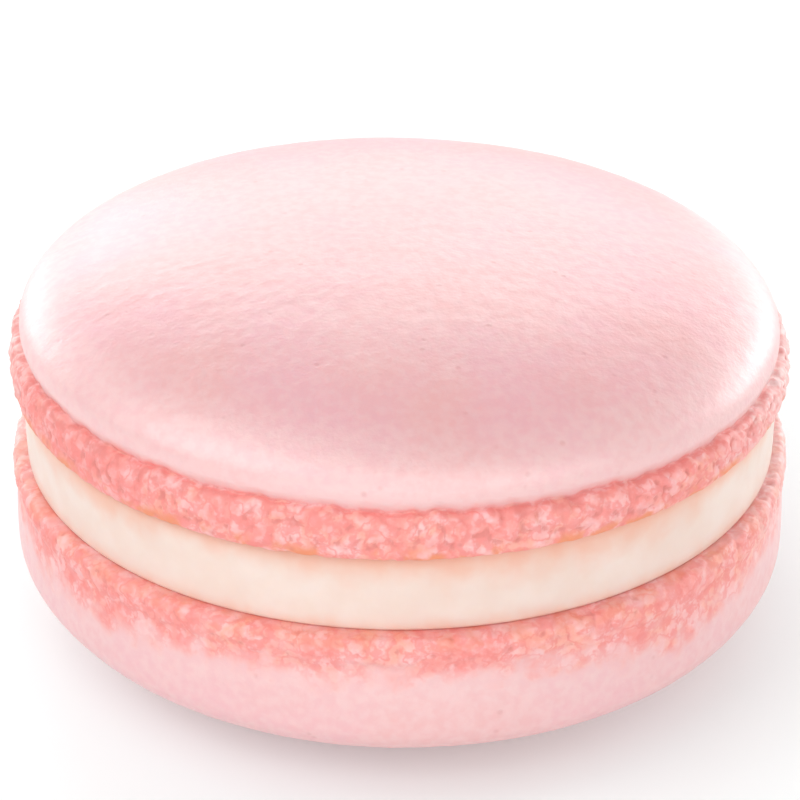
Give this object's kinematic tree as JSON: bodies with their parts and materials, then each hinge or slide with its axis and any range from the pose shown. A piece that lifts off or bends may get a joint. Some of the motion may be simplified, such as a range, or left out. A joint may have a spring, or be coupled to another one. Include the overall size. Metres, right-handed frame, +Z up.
{
  "type": "french macaron",
  "caption": "Round sandwich biscuit: domed almond shells on craggy feet with a disc of cream between them.",
  "frame": {"origin": "middle of the footprint, on the surface that the macaron rests on", "axes": "+Z up through both shells and the cream, -Y towards the viewer, +X to the viewer's right"},
  "size_m": [0.0458, 0.0459, 0.0233],
  "materials": {
    "almond_shell": "baked almond meringue in pastel pink: a thin matt skin with a fine grain, and a coral foot of small open bubbles",
    "vanilla_cream": "smooth ivory cream with a soft satin surface"
  },
  "bodies": {
    "root": {"bottom_shell": "almond_shell", "cream_filling": "vanilla_cream", "top_shell": "almond_shell"}
  },
  "joints": []
}
